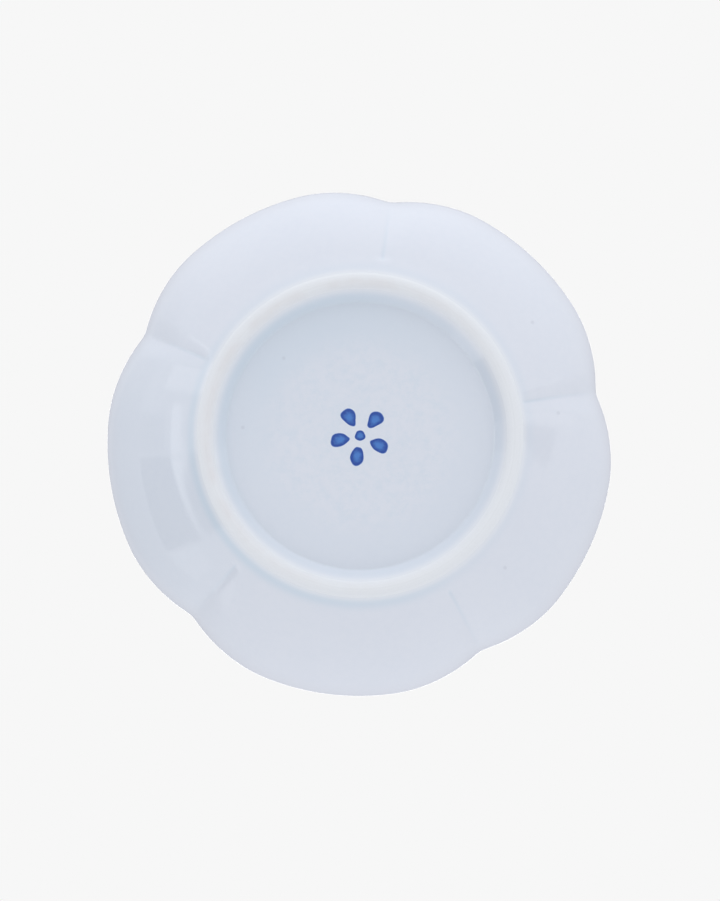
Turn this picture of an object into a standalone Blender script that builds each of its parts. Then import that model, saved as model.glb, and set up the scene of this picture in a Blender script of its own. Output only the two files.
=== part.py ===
"""Small foliate plate: a pressed porcelain dish on a foot ring, two glaze coats and a painted mark.

Every turned piece is a section in radius and height, turned about the axis with a notch on +X
and then pressed in at the notches. The plate stands on its bare tread at height zero.
"""
import math

import bmesh
import bpy

MM = 0.001

# Overall sizes, measured over the glaze
PLATE_RADIUS = 53.0 * MM
PLATE_HEIGHT = 17.5 * MM

# Dish
FLOOR_RADIUS = 33.5 * MM
FLOOR_THICKNESS = 4.0 * MM
LIP_THICKNESS = 2.6 * MM
FLANK_BOW = math.radians(15)
FACE_BOW = math.radians(22)

# Foot ring: a narrow rounded tread, with a ramp in to the base and one out that runs on into the flank
FOOT_RADIUS = 31.9 * MM
FOOT_HEIGHT = 2.9 * MM
TREAD_WIDTH = 1.4 * MM
TREAD_EDGE = 0.7 * MM
FOOT_RAMP_OUT = 5.3 * MM
FOOT_RAMP_IN = 3.3 * MM
RAMP_BOW = math.radians(3)

# Lobes: the wall is pressed in at each notch, fully at the lip and not at all within a run-in beside the foot
NOTCH_COUNT = 5
NOTCH_RUN_IN = 2.7 * MM
NOTCH_DEPTH = 2.6 * MM
NOTCH_DIP = 0.5 * MM
NOTCH_REACH = math.radians(20)
NOTCH_ROUNDING = math.radians(1.2)
NOTCH_SHARPNESS = 1.75
NOTCH_FADE = 1.2
# This turn keeps the box around the five lobes centred on the axis
LOBE_TURN = math.radians(-9)

# Glaze, and the seam left between pieces that are fired onto each other
GLAZE_THICKNESS = 0.3 * MM
SEAM = 0.1 * MM
COAT = SEAM + GLAZE_THICKNESS

# Painted mark in the middle of the base
MARK_THICKNESS = 0.1 * MM
DAB_COUNT = 5
DAB_LENGTH = 4.0 * MM
DAB_WIDTH = 2.8 * MM
DAB_TAPER = 0.3
DAB_RING_RADIUS = 4.2 * MM
DOT_RADIUS = 1.1 * MM

# Facets along each stretch of a section, around the plate and around a painted dab
FACE_STEPS = 5
LIP_STEPS = 4
FLANK_STEPS = 6
RAMP_STEPS = 3
EDGE_STEPS = 2
TURN_STEPS = 80
DAB_STEPS = 20
MERGE = 0.001 * MM
SHARP_ANGLE = math.radians(40)

# Colour and roughness of each finish
BARE_PORCELAIN = ((0.78, 0.78, 0.79), 0.75)
CLEAR_GLAZE = ((0.69, 0.73, 0.81), 0.12)
COBALT = ((0.02, 0.11, 0.42), 0.2)

# Places that several pieces share
JOINT_HEIGHT = FOOT_HEIGHT + COAT
FLOOR_HEIGHT = FOOT_HEIGHT + FLOOR_THICKNESS - COAT
TREAD_INNER = FOOT_RADIUS - TREAD_WIDTH / 2
TREAD_OUTER = FOOT_RADIUS + TREAD_WIDTH / 2
ROOT_INNER = TREAD_INNER - TREAD_EDGE - FOOT_RAMP_IN
ROOT_OUTER = TREAD_OUTER + TREAD_EDGE + FOOT_RAMP_OUT
NOTCH_START = TREAD_OUTER + TREAD_EDGE + NOTCH_RUN_IN


def arc(start, end, bow, steps):
    """Points of a round arc that leaves its chord by the angle bow, to the left if positive."""
    run = end[0] - start[0]
    rise = end[1] - start[1]
    chord = math.hypot(run, rise)
    heading = math.atan2(rise, run)
    points = []
    for step in range(steps + 1):
        share = step / steps
        reach = chord * math.sin(bow * share) / math.sin(bow)
        angle = heading + bow * (1 - share)
        points.append((start[0] + reach * math.cos(angle), start[1] + reach * math.sin(angle)))
    return points


def offset(path, distance):
    """The path moved sideways, to the left if the distance is positive, with mitred corners."""
    normals = []
    for (r0, z0), (r1, z1) in zip(path, path[1:]):
        length = math.hypot(r1 - r0, z1 - z0)
        normals.append(((z0 - z1) / length, (r1 - r0) / length))
    moved = []
    for index, (r, z) in enumerate(path):
        before = normals[max(index - 1, 0)]
        after = normals[min(index, len(normals) - 1)]
        spread = 1 + before[0] * after[0] + before[1] * after[1]
        moved.append((r + distance * (before[0] + after[0]) / spread,
                      z + distance * (before[1] + after[1]) / spread))
    return moved


def dish_path():
    """Clay surface from the middle of the face, over the lip and down the flank to the foot."""
    lip_radius = LIP_THICKNESS / 2 - COAT
    lip_r = PLATE_RADIUS - COAT - lip_radius
    lip_z = PLATE_HEIGHT - COAT - lip_radius
    rim_slope = math.atan2(lip_z - JOINT_HEIGHT, lip_r - ROOT_OUTER) + FLANK_BOW
    across = (lip_radius * math.sin(rim_slope), -lip_radius * math.cos(rim_slope))
    lip_inner = (lip_r - across[0], lip_z - across[1])
    lip_outer = (lip_r + across[0], lip_z + across[1])
    floor_edge = (FLOOR_RADIUS, FLOOR_HEIGHT)
    root = (ROOT_OUTER, JOINT_HEIGHT)
    flank_slope = math.atan2(lip_outer[1] - root[1], lip_outer[0] - root[0])
    path = [(0.0, FLOOR_HEIGHT)]
    path += arc(floor_edge, lip_inner, -FACE_BOW, FACE_STEPS)
    path += arc(lip_inner, lip_outer, math.pi / 2, LIP_STEPS)[1:]
    path += arc(lip_outer, root, rim_slope - flank_slope, FLANK_STEPS)[1:]
    return path


def foot_outer_wall():
    """Outer side of the foot ring, from its root down to where the bare tread starts."""
    return arc((ROOT_OUTER, JOINT_HEIGHT), (TREAD_OUTER + TREAD_EDGE, TREAD_EDGE), -RAMP_BOW, RAMP_STEPS)


def foot_inner_wall():
    """Inner side of the foot ring, from the bare tread up to its root."""
    return arc((TREAD_INNER - TREAD_EDGE, TREAD_EDGE), (ROOT_INNER, JOINT_HEIGHT), -RAMP_BOW, RAMP_STEPS)


def body_section():
    """The clay dish, with a flat underside that the foot ring sits against."""
    underside = JOINT_HEIGHT + SEAM
    return dish_path()[:-1] + [(ROOT_OUTER, underside), (0.0, underside)]


def foot_section():
    """The ring of clay: outer side down, rounded tread, inner side up."""
    outer_edge = arc((TREAD_OUTER + TREAD_EDGE, TREAD_EDGE), (TREAD_OUTER, 0.0), math.pi / 4, EDGE_STEPS)
    inner_edge = arc((TREAD_INNER, 0.0), (TREAD_INNER - TREAD_EDGE, TREAD_EDGE), math.pi / 4, EDGE_STEPS)
    return foot_outer_wall() + outer_edge[1:] + inner_edge + foot_inner_wall()[1:]


def outer_glaze_section():
    """One coat over the face, the lip, the flank and the outer side of the foot."""
    skin = dish_path() + foot_outer_wall()[1:]
    return offset(skin, COAT) + offset(skin, SEAM)[::-1]


def base_glaze_section():
    """The coat inside the foot ring."""
    skin = [(0.0, JOINT_HEIGHT)] + foot_inner_wall()[::-1]
    return offset(skin, -SEAM) + offset(skin, -COAT)[::-1]


def notch_strength(angle):
    """How far a direction is pressed in: 1 on a notch, 0 from the notch's reach onwards."""
    pitch = 2 * math.pi / NOTCH_COUNT
    away = abs((angle + pitch / 2) % pitch - pitch / 2)
    rounded = math.hypot(away, NOTCH_ROUNDING) - NOTCH_ROUNDING
    return max(0.0, 1 - rounded / NOTCH_REACH) ** NOTCH_SHARPNESS


def press_notches(mesh):
    """Moves the wall in towards the axis, and a little down, at each notch."""
    for vertex in mesh.vertices:
        x, y, z = vertex.co
        radius = math.hypot(x, y)
        out = (radius - NOTCH_START) / (PLATE_RADIUS - NOTCH_START)
        if out <= 0:
            continue
        press = notch_strength(math.atan2(y, x)) * out ** NOTCH_FADE
        scale = 1 - NOTCH_DEPTH * press / radius
        vertex.co = (x * scale, y * scale, z - NOTCH_DIP * press)


def evaluated_mesh(obj):
    """The object's mesh as its modifiers leave it."""
    depsgraph = bpy.context.evaluated_depsgraph_get()
    return bpy.data.meshes.new_from_object(obj.evaluated_get(depsgraph))


def turned_piece(name, section, closed, collection):
    """A section turned about the axis and pressed in at the notches."""
    profile = bmesh.new()
    points = [profile.verts.new((r, 0.0, z)) for r, z in section]
    for start, end in zip(points, points[1:]):
        profile.edges.new((start, end))
    if closed:
        profile.edges.new((points[-1], points[0]))
    mesh = bpy.data.meshes.new(name)
    profile.to_mesh(mesh)
    profile.free()
    piece = bpy.data.objects.new(name, mesh)
    collection.objects.link(piece)
    turn = piece.modifiers.new("turn", "SCREW")
    turn.steps = TURN_STEPS
    turn.render_steps = TURN_STEPS
    turn.use_merge_vertices = True
    turn.merge_threshold = MERGE
    pressed = evaluated_mesh(piece)
    piece.modifiers.clear()
    piece.data = pressed
    pressed.name = name
    bpy.data.meshes.remove(mesh)
    press_notches(pressed)
    pressed.shade_smooth()
    pressed.set_sharp_from_angle(angle=SHARP_ANGLE)
    return piece


def dab_outline(length, width, taper):
    """Outline of one brush dab along +X, broad at its outer end if it tapers."""
    outline = []
    for step in range(DAB_STEPS):
        angle = 2 * math.pi * step / DAB_STEPS
        side = math.sin(angle) * (1 + taper * math.cos(angle))
        outline.append((length / 2 * math.cos(angle), width / 2 * side))
    return outline


def painted_patch(name, outline, distance, angle, collection):
    """A flat patch of pigment on the base glaze, at a distance and an angle from the axis."""
    curve = bpy.data.curves.new(name, "CURVE")
    curve.dimensions = "2D"
    curve.fill_mode = "BOTH"
    curve.extrude = MARK_THICKNESS / 2
    spline = curve.splines.new("POLY")
    spline.points.add(len(outline) - 1)
    for point, (x, y) in zip(spline.points, outline):
        point.co = (x, y, 0.0, 1.0)
    spline.use_cyclic_u = True
    patch = bpy.data.objects.new(name, curve)
    height = FOOT_HEIGHT - SEAM - MARK_THICKNESS / 2
    patch.location = (distance * math.cos(angle), distance * math.sin(angle), height)
    patch.rotation_euler = (0.0, 0.0, angle)
    collection.objects.link(patch)
    return patch


def set_finish(piece, finish):
    colour, roughness = finish
    material = bpy.data.materials.new(piece.name)
    material.use_nodes = True
    shader = material.node_tree.nodes["Principled BSDF"]
    shader.inputs["Base Color"].default_value = (*colour, 1.0)
    shader.inputs["Roughness"].default_value = roughness
    shader.inputs["Metallic"].default_value = 0.0
    piece.data.materials.append(material)


def main():
    for obj in list(bpy.data.objects):
        bpy.data.objects.remove(obj)
    collection = bpy.data.collections.new("small_plate")
    bpy.context.scene.collection.children.link(collection)
    axis = bpy.data.objects.new("plate_axis", None)
    axis.rotation_euler = (0.0, 0.0, LOBE_TURN)
    collection.objects.link(axis)

    finishes = [
        (turned_piece("porcelain_body", body_section(), False, collection), BARE_PORCELAIN),
        (turned_piece("foot_ring", foot_section(), True, collection), BARE_PORCELAIN),
        (turned_piece("outer_glaze", outer_glaze_section(), False, collection), CLEAR_GLAZE),
        (turned_piece("base_glaze", base_glaze_section(), False, collection), CLEAR_GLAZE),
    ]
    for index in range(DAB_COUNT):
        outline = dab_outline(DAB_LENGTH, DAB_WIDTH, DAB_TAPER)
        angle = 2 * math.pi * (index + 0.5) / DAB_COUNT
        patch = painted_patch(f"mark_dab_{index + 1}", outline, DAB_RING_RADIUS, angle, collection)
        finishes.append((patch, COBALT))
    dot = dab_outline(2 * DOT_RADIUS, 2 * DOT_RADIUS, 0.0)
    finishes.append((painted_patch("mark_dot", dot, 0.0, 0.0, collection), COBALT))

    for piece, finish in finishes:
        set_finish(piece, finish)
        piece.parent = axis


main()
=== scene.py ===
"""Small foliate plate: its clay, its glaze and its painted mark, looked at from underneath."""

import math

import bpy
import numpy as np
from mathutils import Matrix, Vector


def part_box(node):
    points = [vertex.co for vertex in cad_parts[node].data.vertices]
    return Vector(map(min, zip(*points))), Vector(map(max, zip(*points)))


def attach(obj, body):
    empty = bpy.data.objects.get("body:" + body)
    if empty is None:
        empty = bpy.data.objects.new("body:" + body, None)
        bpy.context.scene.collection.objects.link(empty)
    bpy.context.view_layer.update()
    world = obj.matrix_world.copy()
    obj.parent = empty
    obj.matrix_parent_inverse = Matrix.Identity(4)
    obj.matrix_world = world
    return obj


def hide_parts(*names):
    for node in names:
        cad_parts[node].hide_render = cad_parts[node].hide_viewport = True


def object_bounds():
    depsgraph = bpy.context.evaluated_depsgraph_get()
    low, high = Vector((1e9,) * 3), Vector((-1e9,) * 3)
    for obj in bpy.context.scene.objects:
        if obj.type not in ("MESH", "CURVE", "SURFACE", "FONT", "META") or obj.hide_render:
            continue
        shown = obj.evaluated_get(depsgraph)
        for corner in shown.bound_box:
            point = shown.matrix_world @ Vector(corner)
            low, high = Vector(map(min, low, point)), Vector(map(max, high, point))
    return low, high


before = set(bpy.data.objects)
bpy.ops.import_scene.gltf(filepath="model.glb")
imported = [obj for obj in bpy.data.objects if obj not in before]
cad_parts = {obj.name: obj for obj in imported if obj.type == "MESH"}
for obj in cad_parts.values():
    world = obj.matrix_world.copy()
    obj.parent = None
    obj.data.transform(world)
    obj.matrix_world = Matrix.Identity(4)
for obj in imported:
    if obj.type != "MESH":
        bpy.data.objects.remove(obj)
cad_low, cad_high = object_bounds()

MM = 0.001

# Sizes read from the frame
foot_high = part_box("foot_ring")[1]
PLATE_RADIUS = -cad_low.x
PLATE_HEIGHT = cad_high.z
ROOT_OUTER = foot_high.x
JOINT_HEIGHT = foot_high.z

# Section of the plate
FLOOR_RADIUS = 33.5 * MM
FLOOR_THICKNESS = 4.0 * MM
LIP_THICKNESS = 2.6 * MM
FLANK_BOW = math.radians(15)
FACE_BOW = math.radians(22)
GLAZE_THICKNESS = 0.3 * MM
SEAM = 0.1 * MM
COAT = SEAM + GLAZE_THICKNESS
GLAZE_ROLL = 1.2 * MM
BASE_HEIGHT = JOINT_HEIGHT - COAT
FLOOR_HEIGHT = BASE_HEIGHT + FLOOR_THICKNESS - COAT

# Foot: a round tread between a ramp in to the base and one out to the flank, bare between two radii
TREAD_CREST = 31.9 * MM
TREAD_ROUNDING = 2.6 * MM
RAMP_SLOPE_OUT = math.radians(26)
RAMP_SLOPE_IN = math.radians(41)
GLAZE_LINE_OUT = 33.4 * MM
GLAZE_LINE_IN = 30.1 * MM
BASE_FILLET = 0.8 * MM

# Notches of the rim, with the turn that puts one beside +X and the hand's unevenness in each
NOTCH_COUNT = 5
NOTCH_PITCH = 2 * math.pi / NOTCH_COUNT
NOTCH_TURN = math.radians(-9)
NOTCH_SWAY = [math.radians(sway) for sway in (-0.6, -1.0, 0.5, 1.0, 0.0)]
NOTCH_START = 36.0 * MM
NOTCH_DEPTH = 2.4 * MM
NOTCH_DIP = 0.6 * MM
NOTCH_REACH = math.radians(20)
NOTCH_ROUNDING = math.radians(1.2)
NOTCH_SHARPNESS = 1.75
NOTCH_FADE = 1.2

# The rim is a little longer one way than across it
RIM_OVAL = 0.0036
OVAL_TURN = math.radians(-66)

# Crease that runs from each notch down to the foot, soft at the rim and crisp at the foot
CREASE_DEPTH_FOOT = 0.28 * MM
CREASE_DEPTH_RIM = 0.50 * MM
CREASE_REACH_FOOT = 2.4 * MM
CREASE_REACH_RIM = 5.0 * MM
CREASE_ROUNDING_FOOT = 0.12 * MM
CREASE_ROUNDING_RIM = 0.60 * MM
CREASE_SHARPNESS = 1.5
CREASE_RUN_IN = 1.4 * MM
CREASE_LIP_START = 0.65
CREASE_LIP_FADE = 0.85
CREASE_LEAN = math.radians(45)

# Each crease has its own strength and starts at its own distance from the axis
CREASE_GAIN = np.array((1.6, 1.0, 1.1, 1.4, 1.2))
CREASE_START = np.array((33.5, 36.2, 36.2, 34.6, 36.2)) * MM

# On the face a crease is shallower and starts more slowly
FACE_CREASE = 0.6
FACE_CREASE_RUN_IN = 9.0 * MM

# Where the glaze pools, with painted shade darkening each pool more on one side: how much, how far out, how
# wide, on which side the painted shade lies, and the least share all round. On the flank the share is
# painted shade alone
# Round the outer foot: glaze pooled in the fillet all round, with painted shade making it darker on one side
FOOT_POOL_AND_SHADE = 1.0
FOOT_POOL_RADIUS = 34.6 * MM
FOOT_POOL_WIDTH = 1.1 * MM
FOOT_SHADE_SIDE = Vector((-0.85, 0.53, 0.0))
FOOT_POOL_LEAST = 0.25
# Inside the foot: glaze pooled where the inner wall meets the base, with painted shade making it darker on
# one side
HOLLOW_POOL_AND_SHADE = 0.95
HOLLOW_POOL_RADIUS = 28.3 * MM
HOLLOW_POOL_WIDTH = 1.5 * MM
HOLLOW_SHADE_SIDE = Vector((-0.55, -0.83, 0.0))
HOLLOW_POOL_LEAST = 0.5
# Over the base: glaze thicker towards the foot than in the middle, and a painted shadow of the foot ring
# that darkens the base more on one side
BASE_POOL_AND_SHADE = 0.60
BASE_SHADE_SIDE = Vector((-0.2, -1.0, 0.0))
BASE_POOL_LEAST = 0.4
# On the flank: painted shade alone, laid in the pooled glaze colour on the side towards -X
FLANK_PAINTED_SHADE = 0.25
FLANK_SHADE_SIDE = Vector((-1.0, 0.0, 0.0))
FLANK_SHADE_FOCUS = 4
CREASE_POOL = 0.6
CREASE_POOL_WIDTH = 0.4 * MM

# Where the glaze is thin: in the middle of the base, which is mottled, near the lip and beside the tread
MIDDLE_RADIUS = 23.0 * MM
MIDDLE_EDGE = 8.0 * MM
MIDDLE_THINNING = 0.54
MOTTLE = 0.42
LIP_THINNING = 6.0 * MM
GLAZE_FADE = 0.7 * MM

# Warm grey wear along the tread, on one side of the plate
FLASH = 0.7
FLASH_WIDTH = 1.0 * MM
FLASH_RADIUS = 31.4 * MM
FLASH_SIDE = Vector((-0.8, -0.6, 0.0))
FLASH_SPREAD = 0.6

# Slow unevenness of the thrown surface
WAVER_SIZE = 16.0 * MM
WAVER_DEPTH = 0.06 * MM

# Painted mark: domed patches with wavy outlines, a broad end and a narrow one
PAINT_SUNK = 0.02 * MM
PAINT_HEIGHT = 0.05 * MM
PAINT_DOME = 4
PAINT_WOBBLE = 0.05
PAINT_WAVES = (3, 5)
DAB_LENGTH = 4.0 * MM
DAB_WIDTH = 2.8 * MM
DAB_TAPER = 0.3
DOT_WIDTH = 2.2 * MM

# Facets: columns round the plate, drawn together at the notches, and steps along a section
COLUMNS = 360
COLUMN_PULL = 0.6
FACE_STEPS = 24
LIP_STEPS = 14
FLANK_STEPS = 30
OUTER_WALL_STEPS = 12
INNER_WALL_STEPS = 14
TREAD_STEPS = 26
HIDDEN_STEPS = 8
PAINT_POINTS = 72
PAINT_RINGS = 7
PAINT_INSET = 0.9
MERGE_DISTANCE = 0.001 * MM
SHARP_ANGLE = math.radians(50)


def between(first, second, share):
    """A value that goes from the first to the second as the share goes from 0 to 1."""
    return first + (second - first) * share


def arc(start, end, bow, steps):
    """Points of a round arc that leaves its chord by the angle bow, to the left if positive."""
    run = end[0] - start[0]
    rise = end[1] - start[1]
    chord = math.hypot(run, rise)
    heading = math.atan2(rise, run)
    points = []
    for step in range(steps + 1):
        share = step / steps
        reach = chord * math.sin(bow * share) / math.sin(bow)
        angle = heading + bow * (1 - share)
        points.append((start[0] + reach * math.cos(angle), start[1] + reach * math.sin(angle)))
    return points


def line(start, end, steps):
    """Evenly spaced points on a straight line."""
    points = []
    for step in range(steps + 1):
        share = step / steps
        points.append((between(start[0], end[0], share), between(start[1], end[1], share)))
    return points


def dish_path(face_steps, lip_steps, flank_steps):
    """Clay surface from the middle of the face over the lip and down the flank, and its slope at the end."""
    lip_radius = LIP_THICKNESS / 2 - COAT
    lip_r = PLATE_RADIUS - COAT - lip_radius
    lip_z = PLATE_HEIGHT - COAT - lip_radius
    rim_slope = math.atan2(lip_z - JOINT_HEIGHT, lip_r - ROOT_OUTER) + FLANK_BOW
    across = (lip_radius * math.sin(rim_slope), -lip_radius * math.cos(rim_slope))
    lip_inner = (lip_r - across[0], lip_z - across[1])
    lip_outer = (lip_r + across[0], lip_z + across[1])
    floor_edge = (FLOOR_RADIUS, FLOOR_HEIGHT)
    root = (ROOT_OUTER, JOINT_HEIGHT)
    flank_slope = math.atan2(lip_outer[1] - root[1], lip_outer[0] - root[0])
    path = line((0.0, FLOOR_HEIGHT), floor_edge, face_steps // 2)
    path += arc(floor_edge, lip_inner, -FACE_BOW, face_steps)[1:]
    path += arc(lip_inner, lip_outer, math.pi / 2, lip_steps)[1:]
    path += arc(lip_outer, root, rim_slope - flank_slope, flank_steps)[1:]
    return path, 2 * flank_slope - rim_slope


def tread_point(slope):
    """Where the round tread has a slope, outwards if positive."""
    return (TREAD_CREST + TREAD_ROUNDING * math.sin(slope), TREAD_ROUNDING * (1 - math.cos(slope)))


def glaze_line(radius, slope):
    """Where a ramp that leaves the round tread at a slope, outwards if positive, passes a radius."""
    tread_r, tread_z = tread_point(slope)
    return (radius, tread_z + (radius - tread_r) * math.tan(slope))


def foot_outer_wall(flank_end, flank_slope, steps):
    """Finished surface from the flank's end down the outside of the foot to the outer glaze line."""
    bottom = glaze_line(GLAZE_LINE_OUT, RAMP_SLOPE_OUT)
    chord_slope = math.atan2(flank_end[1] - bottom[1], flank_end[0] - bottom[0])
    return arc(flank_end, bottom, flank_slope - chord_slope, steps)


def foot_inner_wall(steps):
    """Finished surface from the flat base down the inside of the foot to the inner glaze line."""
    bottom = glaze_line(GLAZE_LINE_IN, -RAMP_SLOPE_IN)
    corner_r = bottom[0] - (BASE_HEIGHT - bottom[1]) / math.tan(RAMP_SLOPE_IN)
    reach = BASE_FILLET * math.tan(RAMP_SLOPE_IN / 2)
    fillet_end = (corner_r + reach * math.cos(RAMP_SLOPE_IN), BASE_HEIGHT - reach * math.sin(RAMP_SLOPE_IN))
    path = arc((corner_r - reach, BASE_HEIGHT), fillet_end, RAMP_SLOPE_IN / 2, steps // 2)
    return path + line(fillet_end, bottom, steps)[1:]


def bare_tread(steps):
    """Bare clay from the outer glaze line round the tread to the inner glaze line."""
    path = [glaze_line(GLAZE_LINE_OUT, RAMP_SLOPE_OUT)]
    for step in range(steps + 1):
        path.append(tread_point(between(RAMP_SLOPE_OUT, -RAMP_SLOPE_IN, step / steps)))
    return path + [glaze_line(GLAZE_LINE_IN, -RAMP_SLOPE_IN)]


def offset(path, depths):
    """Each point moved by its own depth to the left of the path, or to the right if it is negative."""
    normals = []
    for (r0, z0), (r1, z1) in zip(path, path[1:]):
        length = math.dist((r0, z0), (r1, z1))
        normals.append(((z0 - z1) / length, (r1 - r0) / length))
    moved = []
    for (r, z), depth, before, after in zip(path, depths, normals[:1] + normals, normals + normals[-1:]):
        reach = depth / (1 + before[0] * after[0] + before[1] * after[1])
        moved.append((r + reach * (before[0] + after[0]), z + reach * (before[1] + after[1])))
    return moved


def rolled(path, depth):
    """The path moved to its left, or to its right if the depth is negative, by nothing at its rolled end."""
    left = 0.0
    depths = [0.0]
    for first, second in zip(path[-2::-1], path[::-1]):
        left += math.dist(first, second)
        depths.append(depth * math.sin(min(left / GLAZE_ROLL, 1) * math.pi / 2))
    return offset(path, depths[::-1])


def finished_dish(face_steps, lip_steps, flank_steps, foot_steps):
    """Finished surface from the middle of the face over the lip and the flank, and then down the foot."""
    clay_path, root_slope = dish_path(face_steps, lip_steps, flank_steps)
    path = offset(clay_path, [COAT] * len(clay_path))
    return path[:-1], foot_outer_wall(path[-1], root_slope, foot_steps)


def finished_base(base_steps, foot_steps):
    """Finished surface from the middle of the base, and then down the inside of the foot."""
    wall = foot_inner_wall(foot_steps)
    return line((0.0, BASE_HEIGHT), wall[0], base_steps)[:-1], wall


def turned(name, section):
    """A section drawn point by point and spun round the axis into a closed shape."""
    bpy.ops.object.select_all(action="DESELECT")
    bpy.ops.mesh.primitive_plane_add(size=MM)
    piece = bpy.context.object
    piece.name = name
    piece.data.name = name
    bpy.ops.object.mode_set(mode="EDIT")
    bpy.ops.mesh.select_all(action="SELECT")
    bpy.ops.mesh.merge(type="CENTER")
    bpy.ops.transform.translate(value=(section[0][0], 0.0, section[0][1]))
    for (r0, z0), (r1, z1) in zip(section, section[1:]):
        bpy.ops.mesh.extrude_region_move(TRANSFORM_OT_translate={"value": (r1 - r0, 0.0, z1 - z0)})
    bpy.ops.mesh.select_all(action="SELECT")
    bpy.ops.mesh.spin(steps=COLUMNS, angle=2 * math.pi, center=(0, 0, 0), axis=(0, 0, 1))
    bpy.ops.mesh.select_all(action="SELECT")
    bpy.ops.mesh.remove_doubles(threshold=MERGE_DISTANCE)
    bpy.ops.mesh.normals_make_consistent(inside=False)
    bpy.ops.object.mode_set(mode="OBJECT")
    bpy.ops.object.shade_smooth_by_angle(angle=SHARP_ANGLE)
    return piece


def points_of(piece):
    """The piece's points as three arrays."""
    place = np.empty(3 * len(piece.data.vertices))
    piece.data.vertices.foreach_get("co", place)
    return place.reshape(-1, 3).T


def move_points(piece, x, y, z):
    """Puts the piece's points where three arrays say."""
    piece.data.vertices.foreach_set("co", np.stack([x, y, z], axis=1).ravel())
    piece.data.update()


def note(piece, name, values):
    """Keeps one number per point on the piece for its material to read."""
    attribute = piece.data.attributes.new(name, "FLOAT", "POINT")
    attribute.data.foreach_set("value", values.astype(np.float32))


def bump(distance, width):
    """1 at no distance, falling off smoothly to 0 within about two widths."""
    return np.exp(-(distance / width) ** 2)


def eased(share):
    """A share held between 0 and 1, with a soft start and end."""
    share = np.clip(share, 0, 1)
    return share * share * (3 - 2 * share)


def beside(x, y, side, least=0.0):
    """How far round a point lies to one side: 1 on that side, the least share from a right angle on."""
    share = (x * side.x + y * side.y) / np.maximum(np.hypot(x, y), MM) / side.length
    return between(least, 1, np.clip(share, 0, 1))


def swayed(angle):
    """Moves each notch by its own unevenness, and what lies between two notches smoothly with them."""
    moved = angle.copy()
    for index, sway in enumerate(NOTCH_SWAY):
        away = np.abs((angle - index * NOTCH_PITCH + math.pi) % (2 * math.pi) - math.pi)
        moved += sway * np.cos(np.clip(away / NOTCH_PITCH, 0, 1) * math.pi / 2) ** 2
    return moved


def wall_middle(radius):
    """Height halfway between the clay's face and its underside at a radius."""
    path = dish_path(FACE_STEPS, LIP_STEPS, FLANK_STEPS)[0]
    widest = max(range(len(path)), key=lambda index: path[index][0])
    face = np.array(path[:widest + 1])
    underside = np.array(path[:widest - 1:-1])
    return (np.interp(radius, *face.T) + np.interp(radius, *underside.T)) / 2


def notch_press(away, out):
    """How far the wall is pressed in: 1 at the lip in the middle of a notch, falling off to 0 beside it."""
    rounded = np.hypot(away, NOTCH_ROUNDING) - NOTCH_ROUNDING
    return np.clip(1 - rounded / NOTCH_REACH, 0, 1) ** NOTCH_SHARPNESS * out ** NOTCH_FADE


def past_crease_start(radius, which, run_in):
    """0 where a crease starts, rising smoothly to 1 a run-in further out."""
    return eased((radius - CREASE_START[which]) / run_in)


def crease_press(radius, away, out, which, under):
    """How deep the crease below each notch is, with less of it near the lip and on the face."""
    near_lip = eased((out - CREASE_LIP_START) / (1 - CREASE_LIP_START))
    depth = between(CREASE_DEPTH_FOOT, CREASE_DEPTH_RIM, out) * CREASE_GAIN[which]
    depth = depth * (1 - CREASE_LIP_FADE * near_lip) * past_crease_start(radius, which, CREASE_RUN_IN)
    rounding = between(CREASE_ROUNDING_FOOT, CREASE_ROUNDING_RIM, out)
    across = np.hypot(away * radius, rounding) - rounding
    reach = between(CREASE_REACH_FOOT, CREASE_REACH_RIM, out)
    face_share = FACE_CREASE * past_crease_start(radius, which, FACE_CREASE_RUN_IN)
    share = np.where(under, 1, between(face_share, 1, near_lip))
    return depth * share * np.clip(1 - across / reach, 0, 1) ** CREASE_SHARPNESS


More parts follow.
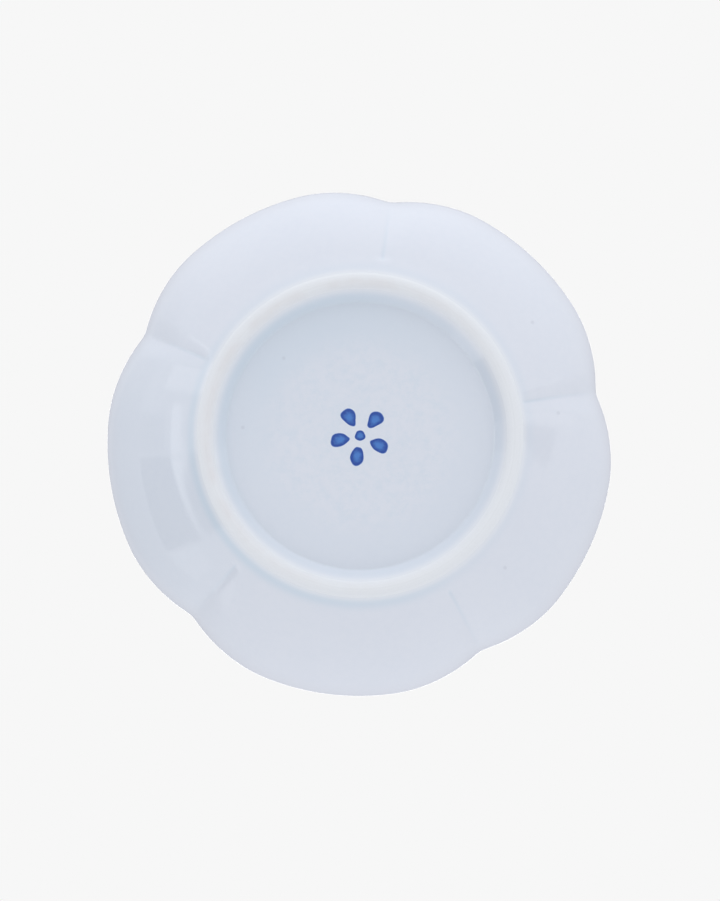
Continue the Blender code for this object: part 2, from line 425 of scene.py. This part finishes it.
def note_glaze(piece, crease_pool, under):
    """Notes where the glaze pools and where shade is painted in the pooled colour, where it mottles, thins
    out and bares the clay, and what lies underneath.
    """
    x, y, z = points_of(piece)
    radius = np.hypot(x, y)
    at_foot = z < JOINT_HEIGHT
    middle = eased((MIDDLE_RADIUS - radius) / MIDDLE_EDGE) * at_foot
    # Glaze pooled round the outer foot, with painted shade making it darker on one side
    foot_pool_and_shade = FOOT_POOL_AND_SHADE * bump(radius - FOOT_POOL_RADIUS, FOOT_POOL_WIDTH) * at_foot
    foot_pool_and_shade = foot_pool_and_shade * beside(x, y, FOOT_SHADE_SIDE, FOOT_POOL_LEAST)
    # Glaze pooled inside the foot, with painted shade making it darker on one side
    hollow_pool_and_shade = HOLLOW_POOL_AND_SHADE * bump(radius - HOLLOW_POOL_RADIUS, HOLLOW_POOL_WIDTH) * at_foot
    hollow_pool_and_shade = hollow_pool_and_shade * beside(x, y, HOLLOW_SHADE_SIDE, HOLLOW_POOL_LEAST)
    # Glaze thicker towards the foot, and a painted shadow of the foot ring that darkens the base more on one
    # side
    base_pool_and_shade = (BASE_POOL_AND_SHADE - MIDDLE_THINNING * middle) * (radius < HOLLOW_POOL_RADIUS) * at_foot
    base_pool_and_shade = base_pool_and_shade * beside(x, y, BASE_SHADE_SIDE, BASE_POOL_LEAST)
    # Painted shade on the flank towards -X, in the pooled glaze colour
    flank_painted_shade = FLANK_PAINTED_SHADE * beside(x, y, FLANK_SHADE_SIDE) ** FLANK_SHADE_FOCUS * (radius > FOOT_POOL_RADIUS)
    bared = np.maximum(bump(radius - GLAZE_LINE_IN, GLAZE_FADE), bump(radius - GLAZE_LINE_OUT, GLAZE_FADE))
    # The pooled note holds pooled glaze and painted shade together
    note(piece, "pooled", np.maximum.reduce([foot_pool_and_shade, hollow_pool_and_shade, base_pool_and_shade, crease_pool, flank_painted_shade]))
    note(piece, "mottled", MOTTLE * middle)
    note(piece, "thinned", eased((z - PLATE_HEIGHT + LIP_THINNING) / LIP_THINNING))
    note(piece, "bared", bared * at_foot)
    note(piece, "under", under.astype(float))


def press_lobes(piece):
    """Draws the columns to the notches, presses the wall in there and notes how the glaze lies on it."""
    x, y, z = points_of(piece)
    radius = np.hypot(x, y)
    angle = np.arctan2(y, x)
    angle = angle - COLUMN_PULL * np.sin(NOTCH_COUNT * angle) / NOTCH_COUNT
    away = np.abs((angle + NOTCH_PITCH / 2) % NOTCH_PITCH - NOTCH_PITCH / 2)
    which = np.rint(angle / NOTCH_PITCH).astype(int) % NOTCH_COUNT
    out = np.clip((radius - NOTCH_START) / (PLATE_RADIUS - NOTCH_START), 0, 1)
    under = z < wall_middle(radius)
    crease_pool = CREASE_POOL * bump(away * radius, CREASE_POOL_WIDTH) * (1 - out)
    note_glaze(piece, crease_pool * past_crease_start(radius, which, CREASE_RUN_IN), under)
    press = notch_press(away, out)
    crease = crease_press(radius, away, out, which, under)
    radius = radius * (1 + RIM_OVAL * out * np.cos(2 * (angle - OVAL_TURN)))
    radius = radius - NOTCH_DEPTH * press - crease * math.sin(CREASE_LEAN)
    z = z - NOTCH_DIP * press + crease * math.cos(CREASE_LEAN)
    angle = swayed(angle) + NOTCH_TURN
    move_points(piece, radius * np.cos(angle), radius * np.sin(angle), z)


def waver(piece):
    """Lays the slow unevenness of a hand-finished surface over the piece."""
    clouds = bpy.data.textures.new(piece.name + "_waver", "CLOUDS")
    clouds.noise_scale = WAVER_SIZE
    modifier = piece.modifiers.new("waver", "DISPLACE")
    modifier.texture = clouds
    modifier.texture_coords = "LOCAL"
    modifier.strength = WAVER_DEPTH
    bpy.ops.object.select_all(action="DESELECT")
    piece.select_set(True)
    bpy.context.view_layer.objects.active = piece
    bpy.ops.object.modifier_apply(modifier=modifier.name)


def dish_glaze():
    """Coat over the face, the lip and the flank, down to the outer glaze line."""
    dish, wall = finished_dish(FACE_STEPS, LIP_STEPS, FLANK_STEPS, OUTER_WALL_STEPS)
    hidden_dish, hidden_wall = finished_dish(HIDDEN_STEPS, HIDDEN_STEPS, HIDDEN_STEPS, HIDDEN_STEPS)
    back = rolled(hidden_dish + hidden_wall, -GLAZE_THICKNESS)
    piece = turned("glaze_over_dish", dish + wall + back[-2::-1])
    press_lobes(piece)
    waver(piece)
    return piece


def base_glaze():
    """Coat inside the foot, from the middle of the base to the inner glaze line."""
    base, wall = finished_base(FACE_STEPS, INNER_WALL_STEPS)
    hidden_base, hidden_wall = finished_base(HIDDEN_STEPS, HIDDEN_STEPS)
    back = rolled(hidden_base + hidden_wall, GLAZE_THICKNESS)
    piece = turned("glaze_inside_foot", back + (base + wall)[-2::-1])
    press_lobes(piece)
    return piece


def foot():
    """The foot ring, with its tread bare between the two glaze lines and worn along one side."""
    outer_wall = finished_dish(HIDDEN_STEPS, HIDDEN_STEPS, HIDDEN_STEPS, OUTER_WALL_STEPS)[1]
    inner_wall = foot_inner_wall(INNER_WALL_STEPS)
    section = rolled(outer_wall, -COAT) + bare_tread(TREAD_STEPS)[1:]
    section += rolled(inner_wall, COAT)[-2::-1] + section[:1]
    piece = turned("bare_foot_ring", section)
    x, y, z = points_of(piece)
    radius = np.hypot(x, y)
    side = (x * FLASH_SIDE.x + y * FLASH_SIDE.y) / radius
    flash = FLASH * bump(radius - FLASH_RADIUS, FLASH_WIDTH)
    note(piece, "flashed", flash * eased(FLASH_SPREAD * (1 + side)))
    press_lobes(piece)
    return piece


def clay_dish():
    """The clay under the glaze."""
    underside = JOINT_HEIGHT + SEAM
    section = dish_path(HIDDEN_STEPS, HIDDEN_STEPS, HIDDEN_STEPS)[0][:-1]
    piece = turned("clay_dish", section + [(ROOT_OUTER, underside), (0.0, underside)])
    press_lobes(piece)
    return piece


def unit_patch(name):
    """A round patch with a radius and a thickness of one, and rings of points on its lower side."""
    bpy.ops.object.select_all(action="DESELECT")
    bpy.ops.mesh.primitive_circle_add(vertices=PAINT_POINTS, radius=1.0, fill_type="NGON")
    piece = bpy.context.object
    piece.name = name
    piece.data.name = name
    bpy.ops.object.mode_set(mode="EDIT")
    bpy.ops.mesh.select_all(action="SELECT")
    bpy.ops.mesh.extrude_region_move(TRANSFORM_OT_translate={"value": (0.0, 0.0, -1.0)})
    for _ in range(PAINT_RINGS):
        bpy.ops.mesh.inset(thickness=PAINT_INSET / PAINT_RINGS)
    bpy.ops.mesh.select_all(action="SELECT")
    bpy.ops.mesh.normals_make_consistent(inside=False)
    bpy.ops.object.mode_set(mode="OBJECT")
    bpy.ops.object.shade_smooth_by_angle(angle=SHARP_ANGLE)
    return piece


def painted_spot(name, node, length, width, taper):
    """A thin domed patch of paint under the base, in the place of a CAD node, broad end outwards."""
    low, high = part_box(node)
    middle = (low + high) / 2
    facing = math.atan2(middle.y, middle.x)
    piece = unit_patch(name)
    x, y, z = points_of(piece)
    out = np.hypot(x, y)
    turn = np.arctan2(y, x)
    few, many = PAINT_WAVES
    wobble = np.sin(few * turn + facing) + np.sin(many * turn - few * facing) / 2
    reach = out * (1 + PAINT_WOBBLE * wobble)
    lengthwise = reach * np.cos(turn) * length / 2
    sideways = reach * np.sin(turn) * (1 + taper * np.cos(turn) * out) * width / 2
    note(piece, "out", out)
    dome = np.sqrt(np.clip(1 - out ** PAINT_DOME, 0, 1))
    height = np.where(z < 0, BASE_HEIGHT - PAINT_HEIGHT * dome, BASE_HEIGHT + PAINT_SUNK)
    move_points(piece,
                middle.x + lengthwise * math.cos(facing) - sideways * math.sin(facing),
                middle.y + lengthwise * math.sin(facing) + sideways * math.cos(facing), height)
    return piece


def add_node(tree, kind, inputs=None, **settings):
    """A shader node with its settings, and each input either linked or set."""
    node = tree.nodes.new("ShaderNode" + kind)
    for name, value in settings.items():
        setattr(node, name, value)
    for name, value in (inputs or {}).items():
        if isinstance(value, bpy.types.NodeSocket):
            tree.links.new(value, node.inputs[name])
        else:
            node.inputs[name].default_value = value
    return node


def new_material(name):
    """A material with its node tree and its shader."""
    material = bpy.data.materials.new(name)
    material.use_nodes = True
    return material, material.node_tree, material.node_tree.nodes["Principled BSDF"]


def place_of(tree):
    """The shaded point's place on the plate."""
    return add_node(tree, "TexCoord").outputs["Object"]


def levelled(tree, place):
    """A place without its height."""
    inputs = {0: place, 1: (1.0, 1.0, 0.0)}
    return add_node(tree, "VectorMath", inputs, operation="MULTIPLY").outputs["Vector"]


def length_of(tree, place):
    """How far a place is from the origin."""
    return add_node(tree, "VectorMath", {0: place}, operation="LENGTH").outputs["Value"]


def along(tree, direction, axis):
    """How far a direction goes along an axis."""
    return add_node(tree, "VectorMath", {0: direction, 1: axis}, operation="DOT_PRODUCT").outputs["Value"]


def noted(tree, name):
    """A number that was noted on the piece's points."""
    return add_node(tree, "Attribute", attribute_name=name).outputs["Fac"]


def noise(tree, place, size, detail=2.0, roughness=0.5):
    """Even noise of a real size."""
    inputs = {"Vector": place, "Scale": 1 / size, "Detail": detail, "Roughness": roughness}
    return add_node(tree, "TexNoise", inputs).outputs["Fac"]


def slanted(tree, value, low, high, to_low, to_high, kind="LINEAR"):
    """A straight line over the value, from to_low where it is low to to_high where it is high."""
    inputs = {"Value": value, "From Min": low, "From Max": high, "To Min": to_low, "To Max": to_high}
    return add_node(tree, "MapRange", inputs, interpolation_type=kind).outputs["Result"]


def reworked(tree, value, low, high, to_low=0.0, to_high=1.0):
    """A soft step over the value, from to_low where it is low to to_high where it is high."""
    return slanted(tree, value, low, high, to_low, to_high, "SMOOTHSTEP")


def worked(tree, operation, first, second):
    """A sum, product or like result of two numbers."""
    return add_node(tree, "Math", {0: first, 1: second}, operation=operation).outputs["Value"]


def mixed(tree, share, first, second):
    """A number between two others."""
    return add_node(tree, "Mix", {0: share, 2: first, 3: second}).outputs[0]


def blended(tree, share, first, second):
    """A colour between two others, each a socket or a written colour."""
    inputs = {0: share}
    for index, colour in ((6, first), (7, second)):
        inputs[index] = (*colour, 1.0) if isinstance(colour, tuple) else colour
    return add_node(tree, "Mix", inputs, data_type="RGBA").outputs[2]


def roughened(tree, shader, height, depth):
    """Gives the shader fine relief of a real depth."""
    relief = add_node(tree, "Bump", {"Height": height, "Distance": depth})
    tree.links.new(relief.outputs["Normal"], shader.inputs["Normal"])


# The photograph's directions in the frame: its right and its up, seen from underneath
CAMERA_ROLL = math.radians(1.78)
IMAGE_RIGHT = Vector((math.cos(CAMERA_ROLL), math.sin(CAMERA_ROLL), 0.0))
IMAGE_UP = Vector((math.sin(CAMERA_ROLL), -math.cos(CAMERA_ROLL), 0.0))
UP = Vector((0.0, 0.0, 1.0))

# The stretch that a noise mostly stays in
NOISE_SPAN = (0.3, 0.7)

# Glaze where it lies even, pale, pooled and thin, the pooled colour also serving as painted shade: its
# clouds, flecks, blotches and ripples
GLAZE_EVEN = (0.692, 0.734, 0.828)
GLAZE_PALE = (0.706, 0.745, 0.836)
GLAZE_POOLED_AND_SHADED = (0.600, 0.690, 0.800)
GLAZE_THIN = (0.680, 0.708, 0.795)
GLAZE_ROUGHNESS = (0.05, 0.09)
CLOUD_SIZE = 12.0 * MM
CLOUD_SHARE = 0.6
FLECK_SIZE = 1.4 * MM
FLECK_SHARE = 0.7
BLOTCH_SIZE = 2.6 * MM
BLOTCH_CRISPNESS = 0.85
BLOTCH_SPAN = (0.38, 0.72)
RIPPLE_SIZE = 1.8 * MM
RIPPLE_DEPTH = 0.005 * MM
CLAY_THROUGH_GLAZE = 0.6

# Iron specks in the glaze underneath: how far to the right and up from the middle in the photograph
SPECK_PLACES = [(35.6 * MM, 23.7 * MM), (29.7 * MM, -27.1 * MM), (40.8 * MM, 4.8 * MM)]
SPECK_PLACES += [(-24.1 * MM, 1.7 * MM), (-15.7 * MM, 16.0 * MM)]
SPECK_RADIUS = 0.55 * MM
SPECK_CORE = SPECK_RADIUS / 3
SPECK_STRENGTH = 0.24
IRON_SPECK = (0.420, 0.450, 0.550)

# Bare clay, with its grain, its turning lines and the warm grey patches of its wear
CLAY_WHITE = (0.784, 0.816, 0.870)
CLAY_GREY = (0.762, 0.794, 0.846)
FLASH_BUFF = (0.735, 0.740, 0.780)
CLAY_ROUGHNESS = (0.6, 0.8)
GRAIN_SIZE = 0.3 * MM
GRAIN_DEPTH = 0.02 * MM
TURNING_LINE_SIZE = 0.35 * MM
WORN_SPAN = (0.35, 0.65)
PATCH_SIZE = 7.0 * MM
PATCH_SPAN = (0.3, 0.6)
GLAZE_ON_CLAY = 0.15

# Cobalt where it lies deep and thin, and where it bleeds at the outline
COBALT_DEEP = (0.012, 0.060, 0.330)
COBALT_THIN = (0.055, 0.190, 0.560)
COBALT_EDGE = (0.230, 0.370, 0.680)
COBALT_ROUGHNESS = (0.12, 0.22)
COBALT_POOL_SPAN = (0.5, 1.15)
COBALT_BLEED_START = 0.9
STREAK_SIZE = 0.7 * MM
STREAK_SHARE = 0.6


def glaze():
    """Clear bluish glaze: clouded a little, deeper where it pools and where shade is painted on one side,
    greyer at the lip, with iron specks.
    """
    material, tree, shader = new_material("clear_glaze")
    place = place_of(tree)
    clouded = reworked(tree, noise(tree, place, CLOUD_SIZE, detail=3.0), *NOISE_SPAN, 0.0, CLOUD_SHARE)
    flecked = reworked(tree, noise(tree, place, FLECK_SIZE), *NOISE_SPAN, 0.0, FLECK_SHARE)
    colour = blended(tree, worked(tree, "ADD", clouded, flecked), GLAZE_EVEN, GLAZE_PALE)
    blotches = noise(tree, place, BLOTCH_SIZE, detail=3.0, roughness=BLOTCH_CRISPNESS)
    mottled = worked(tree, "MULTIPLY", noted(tree, "mottled"), reworked(tree, blotches, *BLOTCH_SPAN))
    # Pooled glaze and painted shade both take the pooled colour
    colour = blended(tree, worked(tree, "ADD", noted(tree, "pooled"), mottled), colour, GLAZE_POOLED_AND_SHADED)
    colour = blended(tree, noted(tree, "thinned"), colour, GLAZE_THIN)
    bared = worked(tree, "MULTIPLY", noted(tree, "bared"), CLAY_THROUGH_GLAZE)
    colour = blended(tree, bared, colour, CLAY_WHITE)
    under = noted(tree, "under")
    level = levelled(tree, place)
    for right, up in SPECK_PLACES:
        spot = IMAGE_RIGHT * right + IMAGE_UP * up
        gap = add_node(tree, "VectorMath", {0: level, 1: spot}, operation="DISTANCE").outputs["Value"]
        speck = reworked(tree, gap, SPECK_CORE, SPECK_RADIUS, SPECK_STRENGTH, 0.0)
        colour = blended(tree, worked(tree, "MULTIPLY", speck, under), colour, IRON_SPECK)
    tree.links.new(colour, shader.inputs["Base Color"])
    ripple = noise(tree, place, RIPPLE_SIZE)
    tree.links.new(reworked(tree, ripple, *NOISE_SPAN, *GLAZE_ROUGHNESS), shader.inputs["Roughness"])
    roughened(tree, shader, ripple, RIPPLE_DEPTH)
    return material


def clay(name):
    """Bare fired porcelain: fine grain, faint turning lines, patchy wear and a breath of glaze at edges."""
    material, tree, shader = new_material(name)
    place = place_of(tree)
    grain = noise(tree, place, GRAIN_SIZE, detail=3.0)
    inputs = {"W": length_of(tree, levelled(tree, place)), "Scale": 1 / TURNING_LINE_SIZE, "Detail": 2.0}
    lines = add_node(tree, "TexNoise", inputs, noise_dimensions="1D").outputs["Fac"]
    worn = mixed(tree, 0.5, grain, lines)
    colour = blended(tree, reworked(tree, worn, *WORN_SPAN), CLAY_GREY, CLAY_WHITE)
    patches = reworked(tree, noise(tree, place, PATCH_SIZE), *PATCH_SPAN)
    colour = blended(tree, worked(tree, "MULTIPLY", noted(tree, "flashed"), patches), colour, FLASH_BUFF)
    glazed = worked(tree, "MULTIPLY", noted(tree, "bared"), GLAZE_ON_CLAY)
    colour = blended(tree, glazed, colour, GLAZE_EVEN)
    tree.links.new(colour, shader.inputs["Base Color"])
    tree.links.new(reworked(tree, grain, *NOISE_SPAN, *CLAY_ROUGHNESS), shader.inputs["Roughness"])
    roughened(tree, shader, worn, GRAIN_DEPTH)
    return material


def cobalt():
    """Brushed cobalt: streaked, pooled darker towards its edge and bled at the outline."""
    material, tree, shader = new_material("cobalt_paint")
    out = noted(tree, "out")
    streaks = noise(tree, place_of(tree), STREAK_SIZE, detail=4.0)
    pooled = worked(tree, "ADD", out, worked(tree, "MULTIPLY", streaks, STREAK_SHARE))
    colour = blended(tree, reworked(tree, pooled, *COBALT_POOL_SPAN), COBALT_THIN, COBALT_DEEP)
    colour = blended(tree, reworked(tree, out, COBALT_BLEED_START, 1.0), colour, COBALT_EDGE)
    tree.links.new(colour, shader.inputs["Base Color"])
    tree.links.new(reworked(tree, streaks, *NOISE_SPAN, *COBALT_ROUGHNESS), shader.inputs["Roughness"])
    return material


def finish_piece(piece, material, node):
    """Gives a piece its material and puts it in the place of a CAD node."""
    piece.data.materials.clear()
    piece.data.materials.append(material)
    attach(piece, "root")
    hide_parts(node)


glaze_finish = glaze()
paint_finish = cobalt()
finish_piece(clay_dish(), clay("bare_porcelain"), "porcelain_body")
finish_piece(foot(), clay("bare_tread"), "foot_ring")
finish_piece(dish_glaze(), glaze_finish, "outer_glaze")
finish_piece(base_glaze(), glaze_finish, "base_glaze")
dabs = sorted(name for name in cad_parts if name.startswith("mark_dab"))
for node in dabs:
    dab = painted_spot("brushed_" + node, node, DAB_LENGTH, DAB_WIDTH, DAB_TAPER)
    finish_piece(dab, paint_finish, node)
dot = painted_spot("brushed_mark_dot", "mark_dot", DOT_WIDTH, DOT_WIDTH, 0.0)
finish_piece(dot, paint_finish, "mark_dot")

# Camera under the plate, tilted a little, with the rim's circle where the photograph has it
IMAGE_WIDTH = 720
IMAGE_HEIGHT = 901
SENSOR_WIDTH = 36.0
RIM_CENTRE_PIXEL = (360.1, 441.2)
RIM_RADIUS_PIXELS = 253.5
CAMERA_DISTANCE = 0.75
CAMERA_TILT = math.radians(4.75)
RIM_HEIGHT = PLATE_HEIGHT - LIP_THICKNESS / 2


def add_camera():
    """The camera, aimed so that the middle of the rim falls on its pixel."""
    ahead = UP * math.cos(CAMERA_TILT) + IMAGE_UP * math.sin(CAMERA_TILT)
    camera_up = IMAGE_UP * math.cos(CAMERA_TILT) - UP * math.sin(CAMERA_TILT)
    pixel = PLATE_RADIUS / RIM_RADIUS_PIXELS
    aim = Vector((0.0, 0.0, RIM_HEIGHT))
    aim -= camera_up * pixel * (IMAGE_HEIGHT / 2 - RIM_CENTRE_PIXEL[1])
    aim += IMAGE_RIGHT * pixel * (IMAGE_WIDTH / 2 - RIM_CENTRE_PIXEL[0])
    data = bpy.data.cameras.new("camera")
    data.sensor_width = SENSOR_WIDTH
    data.lens = SENSOR_WIDTH * CAMERA_DISTANCE / (IMAGE_HEIGHT * pixel)
    camera = bpy.data.objects.new("camera", data)
    bpy.context.scene.collection.objects.link(camera)
    turn = Matrix((IMAGE_RIGHT, camera_up, -ahead)).transposed().to_4x4()
    camera.matrix_world = Matrix.Translation(aim - ahead * CAMERA_DISTANCE) @ turn
    bpy.context.scene.camera = camera


# Stage: a pale floor that shows from above only, so that the plate can be seen from below. It has a painted
# shadow round the foot and fades into the background further out
BACKGROUND = (0.930, 0.930, 0.930)
BLACK = (0.0, 0.0, 0.0)
FLOOR_SIZE = 12.0
FLOOR_SHADE = 0.65
FLOOR_GLOW = 0.42
FLOOR_FADE_START = 0.15
FLOOR_FADE_END = 0.60
CONTACT_SHADE = 0.45
CONTACT_START = 36.0 * MM
CONTACT_END = 66.0 * MM


def floor_finish():
    """Matt with a faint glow and a painted shadow near the plate, as bright as the background far off, clear
    from below.
    """
    material, tree, shader = new_material("pale_floor")
    tree.nodes.remove(shader)
    distance = length_of(tree, place_of(tree))
    # Painted shadow round the foot: the floor's colour and glow darkened by distance from the axis
    contact = reworked(tree, distance, CONTACT_START, CONTACT_END, CONTACT_SHADE, 0.0)
    shade = tuple(FLOOR_SHADE * channel for channel in BACKGROUND)
    matt = add_node(tree, "BsdfDiffuse", {"Color": blended(tree, contact, shade, BLACK)}).outputs["BSDF"]
    strength = worked(tree, "MULTIPLY", worked(tree, "SUBTRACT", 1.0, contact), FLOOR_GLOW)
    pale = (*BACKGROUND, 1.0)
    glow = add_node(tree, "Emission", {"Color": pale, "Strength": strength}).outputs["Emission"]
    near = add_node(tree, "AddShader", {0: matt, 1: glow}).outputs["Shader"]
    far = add_node(tree, "Emission", {"Color": pale}).outputs["Emission"]
    faded = reworked(tree, distance, FLOOR_FADE_START, FLOOR_FADE_END)
    above = add_node(tree, "MixShader", {0: faded, 1: near, 2: far}).outputs["Shader"]
    clear = add_node(tree, "BsdfTransparent").outputs["BSDF"]
    underneath = add_node(tree, "NewGeometry").outputs["Backfacing"]
    surface = add_node(tree, "MixShader", {0: underneath, 1: above, 2: clear}).outputs["Shader"]
    tree.links.new(surface, tree.nodes["Material Output"].inputs["Surface"])
    return material


def add_floor():
    """The floor, which takes shadows but neither casts any nor throws light back."""
    bpy.ops.object.select_all(action="DESELECT")
    bpy.ops.mesh.primitive_plane_add(size=FLOOR_SIZE)
    floor = bpy.context.object
    floor.name = "floor"
    floor.data.materials.append(floor_finish())
    floor.visible_shadow = False
    floor.visible_diffuse = False
    floor.visible_glossy = False
    floor.visible_transmission = False


# Light: a soft white surround, brightest above and below in the photograph, dimmed where a lamp hangs
WHITE = (1.0, 1.0, 1.0, 1.0)
SURROUND = 0.08
SURROUND_SIDES = ((IMAGE_UP, 1.68), (-IMAGE_UP, 1.31), (IMAGE_RIGHT, 0.56), (-IMAGE_RIGHT, 0.49))
OVERHEAD_LEVEL = 0.45
OVERHEAD_START = -0.2
OVERHEAD_END = 0.5
LAMP_POWER = 4.8
LAMP_SIZE = 0.8
LAMP_DISTANCE = 1.0
LAMP_LEAN = 0.12

# What gloss shows: an even white that is dimmed overhead, with windows and dark cards in it. Each has a
# side, a gain, how softly its ends fade, its reach upwards, and its reach towards the camera at either end
GLOSS_OVERHEAD_LEVEL = 0.3
GLOSS_OVERHEAD_START = 0.3
GLOSS_OVERHEAD_END = 0.9
CARD_EDGE = 0.02
SOFT_CARD_EDGE = 0.80
GLOSS_CARDS = (
    (-IMAGE_RIGHT, 0.9, CARD_EDGE, (0.36, 0.62), (0.45, 0.95), (0.45, 0.95)),
    (-IMAGE_RIGHT, 1.4, CARD_EDGE, (0.00, 0.30), (0.74, 1.30), (0.74, 1.30)),
    (-IMAGE_RIGHT, 1.4, CARD_EDGE, (-0.45, 0.00), (0.95, 1.30), (0.74, 1.30)),
    (-IMAGE_RIGHT, -1.0, CARD_EDGE, (-0.545, 0.01), (0.12, 0.98), (0.12, 0.74)),
    (-IMAGE_RIGHT, 0.35, CARD_EDGE, (-1.00, -0.56), (0.15, 0.80), (0.15, 0.80)),
    (-IMAGE_RIGHT, -0.35, SOFT_CARD_EDGE, (-1.15, 1.10), (-0.50, 0.12), (-0.50, 0.12)),
    (-IMAGE_RIGHT, -0.5, CARD_EDGE, (0.01, 0.22), (0.12, 0.62), (0.12, 0.62)),
    (IMAGE_RIGHT, 0.4, CARD_EDGE, (0.17, 0.32), (0.12, 0.92), (0.12, 0.92)),
    (IMAGE_RIGHT, -0.8, CARD_EDGE, (-0.33, 0.17), (1.15, 1.40), (0.50, 1.40)),
)


def surround_level(tree, direction):
    """How much light comes from a direction."""
    level = SURROUND
    for side, gain in SURROUND_SIDES:
        ahead = worked(tree, "MAXIMUM", along(tree, direction, side), 0.0)
        level = worked(tree, "ADD", level, worked(tree, "MULTIPLY", ahead, gain))
    upward = along(tree, direction, UP)
    dimmed = reworked(tree, upward, OVERHEAD_START, OVERHEAD_END, 1.0, OVERHEAD_LEVEL)
    return worked(tree, "MULTIPLY", level, dimmed)


def card_seen(tree, direction, side, fade, rise, low_reach, high_reach):
    """1 in the directions that a card fills and 0 elsewhere, with soft edges."""
    bottom, top = rise
    ahead = along(tree, direction, side)
    height = worked(tree, "DIVIDE", along(tree, direction, IMAGE_UP), ahead)
    near = worked(tree, "DIVIDE", along(tree, direction, -UP), ahead)
    start, end = [slanted(tree, height, bottom, top, low, high) for low, high in zip(low_reach, high_reach)]
    edges = [(height, bottom, fade), (top, height, fade), (near, start, CARD_EDGE), (end, near, CARD_EDGE)]
    seen = worked(tree, "GREATER_THAN", ahead, 0.0)
    for more, less, edge in edges:
        inside = reworked(tree, worked(tree, "SUBTRACT", more, less), 0.0, edge)
        seen = worked(tree, "MULTIPLY", seen, inside)
    return seen


def gloss_level(tree, direction):
    """How bright gloss shows a direction."""
    upward = along(tree, direction, UP)
    level = reworked(tree, upward, GLOSS_OVERHEAD_START, GLOSS_OVERHEAD_END, 1.0, GLOSS_OVERHEAD_LEVEL)
    for side, gain, fade, rise, low_reach, high_reach in GLOSS_CARDS:
        card = card_seen(tree, direction, side, fade, rise, low_reach, high_reach)
        level = worked(tree, "ADD", level, worked(tree, "MULTIPLY", card, gain))
    return level


def add_surround():
    """The surround: light on all surfaces, windows and cards for gloss, a pale backdrop for the camera."""
    world = bpy.data.worlds.new("surround")
    bpy.context.scene.world = world
    world.use_nodes = True
    tree = world.node_tree
    direction = add_node(tree, "TexCoord").outputs["Generated"]
    rays = add_node(tree, "LightPath").outputs
    glossy = rays["Is Glossy Ray"]
    shown = worked(tree, "MAXIMUM", rays["Is Camera Ray"], glossy)
    shown = worked(tree, "MAXIMUM", shown, rays["Is Transmission Ray"])
    scenery = mixed(tree, glossy, 1.0, gloss_level(tree, direction))
    scenery = worked(tree, "MULTIPLY", scenery, BACKGROUND[0])
    strength = mixed(tree, shown, surround_level(tree, direction), scenery)
    background = tree.nodes["Background"]
    tree.links.new(strength, background.inputs["Strength"])
    background.inputs["Color"].default_value = WHITE


def add_lamp():
    """A soft lamp over the face, leaning towards the lower edge of the photograph."""
    direction = UP - IMAGE_UP * LAMP_LEAN
    data = bpy.data.lights.new("lamp_overhead", "AREA")
    data.size = LAMP_SIZE
    data.energy = LAMP_POWER
    lamp = bpy.data.objects.new("lamp_overhead", data)
    bpy.context.scene.collection.objects.link(lamp)
    lamp.location = Vector((0.0, 0.0, PLATE_HEIGHT / 2)) + direction.normalized() * LAMP_DISTANCE
    lamp.rotation_mode = "QUATERNION"
    lamp.rotation_quaternion = (-direction).to_track_quat("-Z", "Y")
    lamp.visible_camera = False


add_camera()
add_floor()
add_surround()
add_lamp()

bpy.context.scene.view_settings.view_transform = "Standard"
